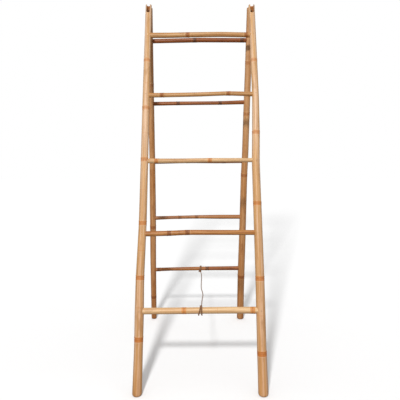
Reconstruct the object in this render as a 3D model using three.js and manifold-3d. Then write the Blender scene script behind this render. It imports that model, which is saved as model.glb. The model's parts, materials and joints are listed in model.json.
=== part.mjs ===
// A free-standing double towel ladder of bamboo, in millimetres, +Z up.
// Two five-rung ladders lean together and are tied at the top, so that the rack folds flat.
// A cord between their lowest rungs stops them sliding apart.
// The origin is on the floor, in the middle of the footprint; the front ladder stands at -Y.
import * as THREE from "three";
import { mergeVertices } from "three/addons/utils/BufferGeometryUtils.js";
import Module from "manifold-3d";

const wasm = await Module();
wasm.setup();

// ---------- driving dimensions ----------
const POLE_LENGTH = 1600; // along a pole, from the level cut at its top to the one at its foot
const LEAN = THREE.MathUtils.degToRad(12); // each ladder leans this far from upright
const HINGE_HEIGHT = POLE_LENGTH * Math.cos(LEAN);
const FOOTPRINT_SHIFT = 6; // the back ladder stands a little to the left, so all of it moves right
const RUNG_PITCH = 290.5;
const RUNG_END = 230; // from the middle to a rung's end, before the poles' own bends
const OVERRUN = 20; // poles are made this much too long at each end, then cut level
const GAP = 0.3; // between pieces that touch

const POLE_SIDES = 12;
const RUNG_SIDES = 10;
const BORE_SIDES = 8;
const FINE_SIDES = 6;

const POLE_WALL = 4.5;
const NODE_SWELL = 0.9; // how far the ring at a culm's node stands proud
const NODE_REACH = 9; // from the ring to where the culm has its own radius again
const PARTITION = 6; // thickness of the wall across a culm at a node
const WEEP_RADIUS = 1.6; // hole through each partition

const TENON_SHARE = 0.72; // of the rung's radius
const RUNG_BORE_SHARE = 0.4;
const TENON_STOP = 3; // from a tenon's end to the far side of the pole's bore
const TENON_ROOT = 4; // the joint is worked out to this far off the pole

const NAIL_RADIUS = 1;
const NAIL_HEAD_RADIUS = 1.6;
const NAIL_HEAD_THICKNESS = 0.8;
const NAIL_HEAD_LIFT = 0.5; // the head stands this far off the pole
const NAIL_PAST_TENON = 1;

const NOTCH_WIDTH = 15; // thumb notch in the outward wall at each pole's top
const NOTCH_DEPTH = 52;
const HINGE_CORD_DROP = 27; // below the level top
const HINGE_CORD_RADIUS = 1.8;
const HINGE_CORD_HOLE_RADIUS = 2.4;
const HINGE_KNOT_RADIUS = 4.4;
const HINGE_KNOT_CLEARANCE = 0.9; // from the knot to the wall that it stops against

const CORD_RADIUS = 2.2;
const CORD_SIDES = 8;
const CORD_STEPS = 72;
const LOOP_WIDTH = 11; // of the turns of cord round a rung
const LOOP_THICKNESS = 5.2;
const KNOT_RADIUS = 5;
const KNOT_LIFT = 0.2; // from the outside of the turns to the knot's centre
const KNOT_X = 3; // from the middle of the ladders
const FRONT_KNOT_ANGLE = 0.6; // round the rung, from straight up towards the other ladder
const BACK_KNOT_ANGLE = 2.6;

// Culms are crooked. A list of pairs gives a value at distances along the culm; it is straight
// between them. A pole's distances run down from the hinge line, a rung's along +X.
const LADDERS = {
  front: {
    outward: -1,
    hingeOffset: 14.1, // from the hinge line to the plane of the poles
    firstRung: 156,
    poles: {
      left: {
        x: [[0, -234.5], [286, -233], [507, -231.5], [733, -229.5], [991, -228], [1197, -231.5],
          [1416, -228], [1620, -227.5]],
        radius: [[0, 13.6], [507, 15.2], [991, 15.5], [1197, 16.2], [1330, 17.3], [1450, 16.2],
          [1620, 17.6]],
        nodes: [286, 507, 733, 991, 1197, 1416],
      },
      right: {
        x: [[0, 233.5], [285, 235.5], [450, 237], [614, 233.5], [740, 228.5], [913, 228.5],
          [1201, 229], [1464, 227], [1620, 227]],
        radius: [[0, 13.7], [450, 14.4], [614, 15.9], [913, 16.4], [1201, 16.9], [1464, 17.3],
          [1620, 18]],
        nodes: [285, 614, 913, 1201, 1464],
      },
    },
    rungs: [
      { drop: [[-230, 3.5], [-135, 3], [-40, 0.5], [90, -1.5], [230, 1.5]],
        radius: [[-230, 11.6], [0, 11.1], [230, 10.8]], nodes: [-58, 204] },
      { drop: [[-230, -0.4], [-130, -1.4], [0, -4.4], [119, -9.4], [230, -5.9]],
        radius: [[-230, 9.9], [-129, 9.3], [85, 8.8], [230, 10]], nodes: [-164, 119] },
      { drop: [[-230, -1], [-83, -1.7], [38, -4], [230, -4.5]],
        radius: [[-230, 10], [0, 9], [230, 8.7]], nodes: [-180, 38] },
      { drop: [[-230, 4.5], [-119, 2], [-49, -1.5], [230, -1]],
        radius: [[-230, 10.3], [-80, 10], [230, 9.9]], nodes: [-122, -49] },
      { drop: [[-230, 0.5], [-61, -1], [112, -3], [230, -2.5]],
        radius: [[-230, 11.7], [0, 11.8], [230, 12.4]], nodes: [-61, 195] },
    ],
  },
  back: {
    outward: 1,
    hingeOffset: 15.5,
    firstRung: 149,
    poles: {
      left: {
        x: [[0, -236], [358, -239], [720, -240], [1040, -245], [1260, -249], [1620, -253]],
        radius: [[0, 14.8], [358, 14.7], [720, 14.2], [960, 15.6], [1260, 14.9], [1471, 14.1],
          [1620, 13.7]],
        nodes: [358, 720, 1075, 1471],
      },
      right: {
        x: [[0, 231], [252, 229.5], [492, 226.5], [700, 225], [797, 222], [1098, 220.5],
          [1351, 218.5], [1620, 219.5]],
        radius: [[0, 14.9], [492, 15.8], [797, 16.3], [1098, 17.2], [1351, 18.3], [1420, 17.9],
          [1620, 18.1]],
        nodes: [252, 492, 797, 1098, 1351],
      },
    },
    rungs: [
      { drop: [[-240, 3.5], [-165, 1.6], [0, -2.2], [230, -1]],
        radius: [[-240, 9.8], [0, 10.4], [230, 10]], nodes: [-25, 195] },
      { drop: [[-240, 3.5], [-108, 1.3], [98, -0.6], [230, -4.8]],
        radius: [[-240, 9.4], [-108, 9], [98, 8.7], [145, 9.3], [230, 10]], nodes: [-108, 98] },
      { drop: [[-240, 2], [-60, -2], [90, -1], [230, -3]],
        radius: [[-240, 9], [0, 8.6], [230, 9]], nodes: [-60, 120] },
      { drop: [[-240, 6.2], [-156, 2.8], [-17, -0.7], [230, -1.2]],
        radius: [[-240, 9.8], [-156, 8.2], [-17, 8.6], [102, 10.4], [230, 10.3]],
        nodes: [-104, -17] },
      { drop: [[-240, 3.8], [-161, 0.6], [35, -3.2], [230, -5]],
        radius: [[-240, 9.4], [-161, 8.6], [35, 9.6], [230, 10.8]], nodes: [-222, 35] },
    ],
  },
};

// The spread cord's centre line, from the knot under the back rung to the one over the front rung.
const SPREAD_CORD_ROUTE = [
  [3.6, 277.2, 273], [5, 265, 270.3], [6.5, 248, 266.6], [7, 225, 262], [6.5, 190, 256],
  [5.5, 150, 250.7], [5, 115, 247.3], [6, 80, 245.2], [9, 50, 244.2], [11.5, 20, 244.2],
  [12, -10, 245.1], [10.5, -45, 247.2], [8.5, -85, 251.2], [7, -125, 256.7], [6, -165, 263.8],
  [5.5, -200, 271.3], [5, -232, 279.2], [4.2, -254, 285.6], [3.5, -269.1, 291.4],
];

// ---------- materials ----------
const material = (colour, roughness, metalness = 0) =>
  new THREE.MeshStandardMaterial({ color: colour, roughness, metalness, flatShading: true });
const MATERIALS = {
  frontPole: material(0xddb084, 0.45),
  frontRung: material(0xcd9763, 0.45),
  backPole: material(0xbd8050, 0.5),
  backRung: material(0x96603a, 0.5),
  nail: material(0x9a9a98, 0.35, 1),
  cord: material(0xa08c7c, 0.9),
};

// ---------- geometry helpers ----------
// A closed geometry as a solid that can be cut and joined.
function solid(geometry) {
  geometry.deleteAttribute("normal");
  geometry.deleteAttribute("uv");
  const merged = mergeVertices(geometry, 1e-4);
  return new wasm.Manifold(
    new wasm.Mesh({
      numProp: 3,
      vertProperties: merged.getAttribute("position").array,
      triVerts: new Uint32Array(merged.index.array),
    }),
  );
}

function geometryOf(shape) {
  const { numProp, vertProperties, triVerts } = shape.getMesh();
  const geometry = new THREE.BufferGeometry();
  const positions = new THREE.InterleavedBuffer(vertProperties, numProp);
  geometry.setAttribute("position", new THREE.InterleavedBufferAttribute(positions, 3, 0));
  geometry.setIndex(new THREE.BufferAttribute(triVerts, 1));
  const own = geometry.toNonIndexed();
  own.computeVertexNormals();
  return own;
}

// The value at a distance, on straight lines between the pairs of a list.
function along(pairs, distance) {
  const last = pairs.length - 2;
  const found = pairs.findIndex((pair, i) => i > 0 && distance <= pair[0]);
  const i = found < 0 ? last : found - 1;
  const [start, startValue] = pairs[i];
  const [end, endValue] = pairs[i + 1];
  return THREE.MathUtils.mapLinear(distance, start, end, startValue, endValue);
}

// A culm's outer radius at a distance, with the swelling of a node that is near.
function outerRadius(culm, distance) {
  const nearest = Math.min(...culm.nodes.map((node) => Math.abs(node - distance)));
  return along(culm.radius, distance) + NODE_SWELL * Math.max(0, 1 - nearest / NODE_REACH);
}

// A round solid about +Z through the given rings, [radius, distance], its ends flat. centreAt
// gives the x and y by which the section at a distance is shifted.
function roundSolid(rings, sides, centreAt) {
  const first = rings[0];
  const last = rings[rings.length - 1];
  const outline = [[0, first[1]], ...rings, [0, last[1]]];
  const points = outline.map(([radius, distance]) => new THREE.Vector2(radius, distance));
  const geometry = new THREE.LatheGeometry(points, sides);
  geometry.rotateX(Math.PI / 2);
  const position = geometry.getAttribute("position");
  for (let i = 0; i < position.count; i += 1) {
    const [x, y] = centreAt(position.getZ(i));
    position.setXY(i, position.getX(i) + x, position.getY(i) + y);
  }
  return geometry;
}

// Rings of a culm's outside, proud of its radius by extra all over: one at each end, three at each
// node for its swelling, and one where the culm bends or its radius changes.
function culmRings(culm, from, to, extra = 0) {
  const ring = (distance, swell) => [along(culm.radius, distance) + swell + extra, distance];
  const rings = [ring(from, 0), ring(to, 0)];
  for (const node of culm.nodes) {
    rings.push(ring(node - NODE_REACH, 0), ring(node, NODE_SWELL), ring(node + NODE_REACH, 0));
  }
  for (const [distance] of [...(culm.x ?? culm.drop), ...culm.radius]) {
    const clear = rings.every(([, other]) => Math.abs(other - distance) > NODE_REACH);
    if (clear && distance > from && distance < to) {
      rings.push(ring(distance, 0));
    }
  }
  return rings.sort((a, b) => a[1] - b[1]);
}

// The chambers of a culm between its partitions, and the fine channel through the partitions.
function culmHollow(culm, from, to, boreRadiusAt, centreAt) {
  const walls = [from - PARTITION / 2, ...culm.nodes, to + PARTITION / 2];
  const hollows = [];
  for (let i = 0; i + 1 < walls.length; i += 1) {
    const start = walls[i] + PARTITION / 2;
    const end = walls[i + 1] - PARTITION / 2;
    const rings = [[boreRadiusAt(start), start], [boreRadiusAt(end), end]];
    hollows.push(roundSolid(rings, BORE_SIDES, centreAt));
  }
  const stations = [from, ...culm.nodes, to];
  const channel = stations.map((distance) => [WEEP_RADIUS, distance]);
  hollows.push(roundSolid(channel, FINE_SIDES, centreAt));
  return hollows;
}

// A straight round bar from one point to another.
function bar(from, to, radius, sides) {
  const start = new THREE.Vector3(...from);
  const run = new THREE.Vector3(...to).sub(start);
  const geometry = new THREE.CylinderGeometry(radius, radius, run.length(), sides);
  geometry.translate(0, run.length() / 2, 0);
  const turn = new THREE.Quaternion().setFromUnitVectors(new THREE.Vector3(0, 1, 0), run.normalize());
  geometry.applyQuaternion(turn);
  geometry.translate(...from);
  return geometry;
}

function piece(name, shape, look) {
  const mesh = new THREE.Mesh(geometryOf(shape), look);
  mesh.name = name;
  return mesh;
}

// The hinge cord of a side runs midway between the centres of the two poles that it ties.
function hingeCordX(side) {
  const [front, back] = ["front", "back"].map((name) => LADDERS[name].poles[side].x);
  return (along(front, HINGE_CORD_DROP) + along(back, HINGE_CORD_DROP)) / 2;
}

// ---------- one ladder ----------
// A ladder is built upright and then leans: its own frame has the hinge line along X through the
// origin, its poles hang down to -Z, and they lie on the outward side of the hinge line.
class Ladder {
  constructor(name, design) {
    this.name = name;
    this.design = design;
    this.planeY = design.outward * design.hingeOffset;
    this.group = new THREE.Group();
    this.group.position.z = HINGE_HEIGHT;
    this.group.rotation.x = design.outward * LEAN;
  }

  // The distance down the poles where a rung's centre line is, at x.
  rungLevel(index, x) {
    return this.design.firstRung + index * RUNG_PITCH + along(this.design.rungs[index].drop, x);
  }

  poleCentre(pole) {
    return (distance) => [along(pole.x, distance), -this.planeY];
  }

  // A rung's end: where its centre line meets the pole's, and the sizes of the joint there.
  joint(side, index) {
    const pole = this.design.poles[side];
    const rung = this.design.rungs[index];
    const inward = side === "left" ? 1 : -1;
    const nominal = this.rungLevel(index, -inward * RUNG_END);
    const x = along(pole.x, nominal);
    const poleRadius = outerRadius(pole, nominal);
    return {
      x,
      z: -this.rungLevel(index, x),
      inward,
      poleRadius,
      tenonRadius: along(rung.radius, x) * TENON_SHARE,
      tenonEnd: x - inward * (poleRadius - POLE_WALL - TENON_STOP),
      shoulder: x + inward * (poleRadius + TENON_ROOT),
    };
  }

  // A slab that covers everything above the level top (up = 1) or below the level foot (up = -1).
  levelSlab(up) {
    const size = 200;
    const width = 700;
    const slab = new THREE.BoxGeometry(width, size, size);
    const height = up > 0 ? 0 : -HINGE_HEIGHT;
    slab.translate(0, 0, height + (up * size) / 2);
    const outwardShift = up > 0 ? 0 : this.design.outward * HINGE_HEIGHT * Math.tan(LEAN);
    slab.translate(0, outwardShift, 0);
    slab.rotateX(-this.group.rotation.x);
    return solid(slab);
  }

  nailHole({ x, z, poleRadius, tenonRadius }) {
    const { outward } = this.design;
    const tip = [x, this.planeY - outward * (tenonRadius + NAIL_PAST_TENON + GAP), z];
    const outside = [x, this.planeY + outward * (poleRadius + 5), z];
    return solid(bar(tip, outside, NAIL_RADIUS + GAP, FINE_SIDES));
  }

  // The notch in the outward wall at a pole's top, round at its lower end.
  notch(x) {
    const depth = 40;
    const straight = NOTCH_DEPTH - NOTCH_WIDTH / 2;
    const outline = new THREE.Shape();
    outline.moveTo(-NOTCH_WIDTH / 2, 30);
    outline.lineTo(-NOTCH_WIDTH / 2, -straight);
    outline.absarc(0, -straight, NOTCH_WIDTH / 2, Math.PI, 2 * Math.PI, false);
    outline.lineTo(NOTCH_WIDTH / 2, 30);
    const cutter = new THREE.ExtrudeGeometry(outline, { depth, bevelEnabled: false, curveSegments: 8 });
    cutter.rotateX(Math.PI / 2);
    const start = this.design.outward > 0 ? this.planeY + depth : this.planeY;
    cutter.translate(x, start, 0);
    return solid(cutter);
  }

  pole(side) {
    const pole = this.design.poles[side];
    const centreAt = this.poleCentre(pole);
    const boreRadiusAt = (distance) => along(pole.radius, distance) - POLE_WALL;
    const top = -OVERRUN;
    const foot = POLE_LENGTH + OVERRUN;
    const hang = (geometry) => solid(geometry.rotateX(Math.PI));
    let shape = hang(roundSolid(culmRings(pole, top, foot), POLE_SIDES, centreAt));
    for (const hollow of culmHollow(pole, top - 5, foot + 5, boreRadiusAt, centreAt)) {
      shape = shape.subtract(hang(hollow));
    }
    shape = shape.subtract(this.levelSlab(1)).subtract(this.levelSlab(-1));
    this.design.rungs.forEach((rung, index) => {
      const joint = this.joint(side, index);
      const from = [joint.tenonEnd - joint.inward * GAP, this.planeY, joint.z];
      const to = [joint.shoulder + joint.inward * 10, this.planeY, joint.z];
      shape = shape.subtract(solid(bar(from, to, joint.tenonRadius + GAP, RUNG_SIDES)));
      shape = shape.subtract(this.nailHole(joint));
    });
    shape = shape.subtract(this.notch(along(pole.x, 0)));
    return shape.subtract(this.hingeCordHole(hingeCordX(side)));
  }

  // The hinge cord runs level from one ladder to the other, so its hole is level too.
  hingeCordHole(x) {
    const far = this.design.outward * (this.design.hingeOffset + 6);
    const from = [x, -far, -HINGE_CORD_DROP];
    const to = [x, far, -HINGE_CORD_DROP];
    const hole = bar(from, to, HINGE_CORD_HOLE_RADIUS, CORD_SIDES);
    hole.rotateX(-this.group.rotation.x);
    return solid(hole);
  }

  rung(index) {
    const rung = this.design.rungs[index];
    const left = this.joint("left", index);
    const right = this.joint("right", index);
    const centreAt = (x) => [this.rungLevel(index, x), this.planeY];
    const layAlongX = (geometry) => solid(geometry.rotateY(Math.PI / 2));
    let shape = layAlongX(roundSolid(culmRings(rung, left.x, right.x), RUNG_SIDES, centreAt));
    for (const side of ["left", "right"]) {
      const pole = this.design.poles[side];
      const rings = culmRings(pole, -OVERRUN, POLE_LENGTH, GAP);
      const envelope = roundSolid(rings, POLE_SIDES, this.poleCentre(pole));
      shape = shape.subtract(solid(envelope.rotateX(Math.PI)));
    }
    for (const joint of [left, right]) {
      const from = [joint.tenonEnd, this.planeY, joint.z];
      const to = [joint.shoulder, this.planeY, joint.z];
      shape = shape.add(solid(bar(from, to, joint.tenonRadius, RUNG_SIDES)));
    }
    const boreRadiusAt = (x) => along(rung.radius, x) * RUNG_BORE_SHARE;
    const from = left.tenonEnd - 5;
    const to = right.tenonEnd + 5;
    for (const hollow of culmHollow(rung, from, to, boreRadiusAt, centreAt)) {
      shape = shape.subtract(layAlongX(hollow));
    }
    for (const joint of [left, right]) {
      shape = shape.subtract(this.nailHole(joint));
    }
    return shape;
  }

  // A nail with a flat head, driven in from the outward side.
  nail(side, index) {
    const { x, z, poleRadius, tenonRadius } = this.joint(side, index);
    const headY = poleRadius + NAIL_HEAD_LIFT;
    const tip = -tenonRadius - NAIL_PAST_TENON;
    const outline = [
      [0, tip], [NAIL_RADIUS, tip + 2], [NAIL_RADIUS, headY],
      [NAIL_HEAD_RADIUS, headY], [NAIL_HEAD_RADIUS, headY + NAIL_HEAD_THICKNESS],
      [0, headY + NAIL_HEAD_THICKNESS],
    ];
    const points = outline.map(([radius, distance]) => new THREE.Vector2(radius, distance));
    const nail = new THREE.LatheGeometry(points, FINE_SIDES);
    nail.rotateX(this.design.outward > 0 ? 0 : Math.PI);
    nail.translate(x, this.planeY, z);
    return solid(nail);
  }

  build() {
    const { name, group, design } = this;
    const poleLook = name === "front" ? MATERIALS.frontPole : MATERIALS.backPole;
    const rungLook = name === "front" ? MATERIALS.frontRung : MATERIALS.backRung;
    for (const side of ["left", "right"]) {
      group.add(piece(`${name}_${side}_pole`, this.pole(side), poleLook));
    }
    design.rungs.forEach((rung, index) => {
      group.add(piece(`${name}_rung_${index + 1}`, this.rung(index), rungLook));
      for (const side of ["left", "right"]) {
        const nail = this.nail(side, index);
        group.add(piece(`${name}_${side}_nail_${index + 1}`, nail, MATERIALS.nail));
      }
    });
    return group;
  }

  // Turns of the spread cord round the lowest rung, with the knot, in the ladder's own frame.
  cordKnot(knotAngle) {
    const index = this.design.rungs.length - 1;
    const radius = along(this.design.rungs[index].radius, KNOT_X);
    const inner = radius / Math.cos(Math.PI / RUNG_SIDES) + GAP;
    const outer = inner + LOOP_THICKNESS;
    const half = LOOP_WIDTH / 2;
    const section = [[inner, -half], [outer, -half], [outer, half], [inner, half], [inner, -half]];
    const points = section.map(([reach, distance]) => new THREE.Vector2(reach, distance));
    const loop = new THREE.LatheGeometry(points, 16);
    loop.rotateZ(-Math.PI / 2);
    const knot = new THREE.IcosahedronGeometry(KNOT_RADIUS, 1);
    const lift = outer + KNOT_LIFT;
    const towardsOther = -this.design.outward * Math.sin(knotAngle);
    knot.translate(0, lift * towardsOther, lift * Math.cos(knotAngle));
    const knotted = solid(loop).add(solid(knot));
    const centre = [KNOT_X, this.planeY, -this.rungLevel(index, KNOT_X)];
    return knotted.translate(centre);
  }
}

// ---------- cords ----------
function cordTube(route, radius, sides, steps) {
  const curve = new THREE.CatmullRomCurve3(route.map((point) => new THREE.Vector3(...point)));
  const section = new THREE.Shape().absarc(0, 0, radius, 0, 2 * Math.PI, false);
  return new THREE.ExtrudeGeometry(section, {
    extrudePath: curve,
    steps,
    curveSegments: sides / 2,
    bevelEnabled: false,
  });
}

// The tie of one side: a cord through both poles' inner walls, with a stopper knot inside each.
function hingeCord(side) {
  const knots = ["front", "back"].map((name) => {
    const { outward, hingeOffset, poles } = LADDERS[name];
    const pole = poles[side];
    const wallY = (hingeOffset - along(pole.radius, HINGE_CORD_DROP) + POLE_WALL) / Math.cos(LEAN);
    const holeY = wallY + HINGE_CORD_DROP * Math.tan(LEAN);
    const knotY = holeY + HINGE_KNOT_RADIUS + HINGE_KNOT_CLEARANCE;
    return [hingeCordX(side), outward * knotY, HINGE_HEIGHT - HINGE_CORD_DROP];
  });
  let shape = solid(bar(knots[0], knots[1], HINGE_CORD_RADIUS, CORD_SIDES));
  for (const centre of knots) {
    shape = shape.add(solid(new THREE.IcosahedronGeometry(HINGE_KNOT_RADIUS, 1).translate(...centre)));
  }
  return shape;
}

// ---------- the whole rack ----------
const rack = new THREE.Group();
rack.position.x = FOOTPRINT_SHIFT;
const front = new Ladder("front", LADDERS.front);
const back = new Ladder("back", LADDERS.back);
rack.add(front.build(), back.build());
for (const side of ["left", "right"]) {
  rack.add(piece(`${side}_hinge_cord`, hingeCord(side), MATERIALS.cord));
}
const spreadCord = cordTube(SPREAD_CORD_ROUTE, CORD_RADIUS, CORD_SIDES, CORD_STEPS);
rack.add(piece("spread_cord", solid(spreadCord), MATERIALS.cord));
front.group.add(piece("front_cord_knot", front.cordKnot(FRONT_KNOT_ANGLE), MATERIALS.cord));
back.group.add(piece("back_cord_knot", back.cordKnot(BACK_KNOT_ANGLE), MATERIALS.cord));

export default rack;
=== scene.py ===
# A free-standing double towel ladder of bamboo: the looks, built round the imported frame.
import json
import math
import random

import bmesh
import bpy
import numpy as np
from mathutils import Matrix, Vector


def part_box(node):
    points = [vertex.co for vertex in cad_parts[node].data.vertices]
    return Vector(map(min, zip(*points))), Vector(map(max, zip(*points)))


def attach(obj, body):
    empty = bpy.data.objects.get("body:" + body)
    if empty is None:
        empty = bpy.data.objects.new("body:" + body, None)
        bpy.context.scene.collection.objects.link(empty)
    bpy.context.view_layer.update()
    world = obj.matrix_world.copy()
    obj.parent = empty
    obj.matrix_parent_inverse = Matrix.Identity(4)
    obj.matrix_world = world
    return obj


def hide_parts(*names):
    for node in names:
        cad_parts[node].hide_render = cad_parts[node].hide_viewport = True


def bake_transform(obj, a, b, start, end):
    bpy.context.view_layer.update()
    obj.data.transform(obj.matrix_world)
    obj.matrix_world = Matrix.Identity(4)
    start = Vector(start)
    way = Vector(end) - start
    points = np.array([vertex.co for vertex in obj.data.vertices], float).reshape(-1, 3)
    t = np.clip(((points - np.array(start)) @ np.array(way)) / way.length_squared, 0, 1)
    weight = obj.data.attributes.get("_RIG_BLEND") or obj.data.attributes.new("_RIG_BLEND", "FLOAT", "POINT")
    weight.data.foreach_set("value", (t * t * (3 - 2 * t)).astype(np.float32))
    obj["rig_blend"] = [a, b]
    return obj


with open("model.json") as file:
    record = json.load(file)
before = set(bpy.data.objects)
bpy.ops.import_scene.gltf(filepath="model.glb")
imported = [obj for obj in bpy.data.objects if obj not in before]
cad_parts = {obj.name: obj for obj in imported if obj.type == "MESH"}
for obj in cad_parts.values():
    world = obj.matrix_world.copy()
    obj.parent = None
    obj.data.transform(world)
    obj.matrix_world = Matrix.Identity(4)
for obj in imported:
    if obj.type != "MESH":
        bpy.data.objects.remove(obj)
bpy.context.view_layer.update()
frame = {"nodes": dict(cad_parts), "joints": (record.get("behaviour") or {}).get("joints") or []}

# ---------- driving dimensions, metres ----------
LEAN = math.radians(12)
HINGE = Vector(frame["joints"][0]["pos_m"])
OUTWARD = {"front": -1, "back": 1}
POLE_LENGTH = 1.6
POLE_WALL = 0.0045
NOTCH_WIDTH = 0.015  # thumb notch in the outward wall at each pole's top
NOTCH_DEPTH = 0.052
NOTCH_FLARE = 0.003  # the notch's corners at the rim are rounded by this much
NODE_REACH = 0.012  # from a node to where the culm has its own radius again
CORD_DIAMETER = 0.0044
CORD_LAY = 0.014  # length in which a strand goes once round the cord
TURN_DIAMETER = 0.0052  # of the turns round the lowest rungs, which have loosened
TIE_DIAMETER = 0.0036  # of the cords through the poles at the hinge
KNOT_REACH = 0.0048  # from a lowest rung's skin to the centre of the knot on it
KNOT_SIZE = 0.0038
FRONT_KNOT_ANGLE = 0.62  # round the rung, from its top towards the other ladder
BACK_KNOT_ANGLE = 2.6
FOOTPRINT_SHIFT = HINGE.x

# The spread cord's centre line, from the knot under the back rung to the one over the front rung.
SPREAD_CORD_ROUTE = [
    (0.0036, 0.2772, 0.273), (0.005, 0.265, 0.2703), (0.0065, 0.248, 0.2666),
    (0.007, 0.225, 0.262), (0.0065, 0.19, 0.256), (0.0055, 0.15, 0.2507),
    (0.005, 0.115, 0.2473), (0.006, 0.08, 0.2452), (0.009, 0.05, 0.2442),
    (0.0115, 0.02, 0.2442), (0.012, -0.01, 0.2451), (0.0105, -0.045, 0.2472),
    (0.0085, -0.085, 0.2512), (0.007, -0.125, 0.2567), (0.006, -0.165, 0.2638),
    (0.0055, -0.2, 0.2713), (0.005, -0.232, 0.2792), (0.0042, -0.254, 0.2856),
    (0.0035, -0.2691, 0.2914),
]

# ---------- camera ----------
camera_data = bpy.data.cameras.new("camera")
camera_data.lens = 33.05
camera_data.sensor_width = 36
camera_data.shift_y = -0.08
camera = bpy.data.objects.new("camera", camera_data)
camera.location = (HINGE.x - 0.001, -1.678, 0.8005)
camera.rotation_euler = (math.radians(90.7), 0, 0)
bpy.context.scene.collection.objects.link(camera)
bpy.context.scene.camera = camera


# ---------- material helpers ----------
def linear(red, green, blue):
    """An sRGB colour, 0 to 255, as the linear colour that a shader takes."""
    def channel(value):
        value /= 255
        return value / 12.92 if value <= 0.04045 else ((value + 0.055) / 1.055) ** 2.4
    return (channel(red), channel(green), channel(blue), 1)


class Nodes:
    """A material's node tree, with short calls for the nodes that the materials here repeat."""

    def __init__(self, name):
        self.material = bpy.data.materials.new(name)
        self.material.use_nodes = True
        self.tree = self.material.node_tree
        self.shader = self.tree.nodes["Principled BSDF"]

    def add(self, kind, **settings):
        node = self.tree.nodes.new(kind)
        for key, value in settings.items():
            setattr(node, key, value)
        return node

    def link(self, output, target):
        self.tree.links.new(output, target)

    def attribute(self, name, output="Fac"):
        return self.add("ShaderNodeAttribute", attribute_name=name).outputs[output]

    def stretched(self, vector, scale):
        node = self.add("ShaderNodeVectorMath", operation="MULTIPLY")
        self.link(vector, node.inputs[0])
        node.inputs[1].default_value = scale
        return node.outputs[0]

    def noise(self, vector, detail=3.0, roughness=0.5):
        node = self.add("ShaderNodeTexNoise")
        node.inputs["Scale"].default_value = 1.0
        node.inputs["Detail"].default_value = detail
        node.inputs["Roughness"].default_value = roughness
        self.link(vector, node.inputs["Vector"])
        return node.outputs["Fac"]

    def math(self, operation, first, second=0.0, clamp=False):
        node = self.add("ShaderNodeMath", operation=operation, use_clamp=clamp)
        for socket, value in zip(node.inputs, (first, second)):
            if isinstance(value, (int, float)):
                socket.default_value = value
            else:
                self.link(value, socket)
        return node.outputs[0]

    def span(self, value, low, high, start=0.0, end=1.0):
        """value from low to high becomes start to end, smoothly, and stays inside them."""
        node = self.add("ShaderNodeMapRange", interpolation_type="SMOOTHSTEP")
        self.link(value, node.inputs["Value"])
        node.inputs["From Min"].default_value = low
        node.inputs["From Max"].default_value = high
        node.inputs["To Min"].default_value = start
        node.inputs["To Max"].default_value = end
        return node.outputs["Result"]

    def mix(self, share, first, second, blend="MIX"):
        node = self.add("ShaderNodeMix", data_type="RGBA", blend_type=blend)
        for index, value in ((0, share), (6, first), (7, second)):
            socket = node.inputs[index]
            if isinstance(value, (int, float, tuple)):
                socket.default_value = value
            else:
                self.link(value, socket)
        return node.outputs[2]

    def bump(self, height, distance, strength=1.0, normal=None):
        node = self.add("ShaderNodeBump")
        node.inputs["Strength"].default_value = strength
        node.inputs["Distance"].default_value = distance
        self.link(height, node.inputs["Height"])
        if normal is not None:
            self.link(normal, node.inputs["Normal"])
        return node.outputs["Normal"]


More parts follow.
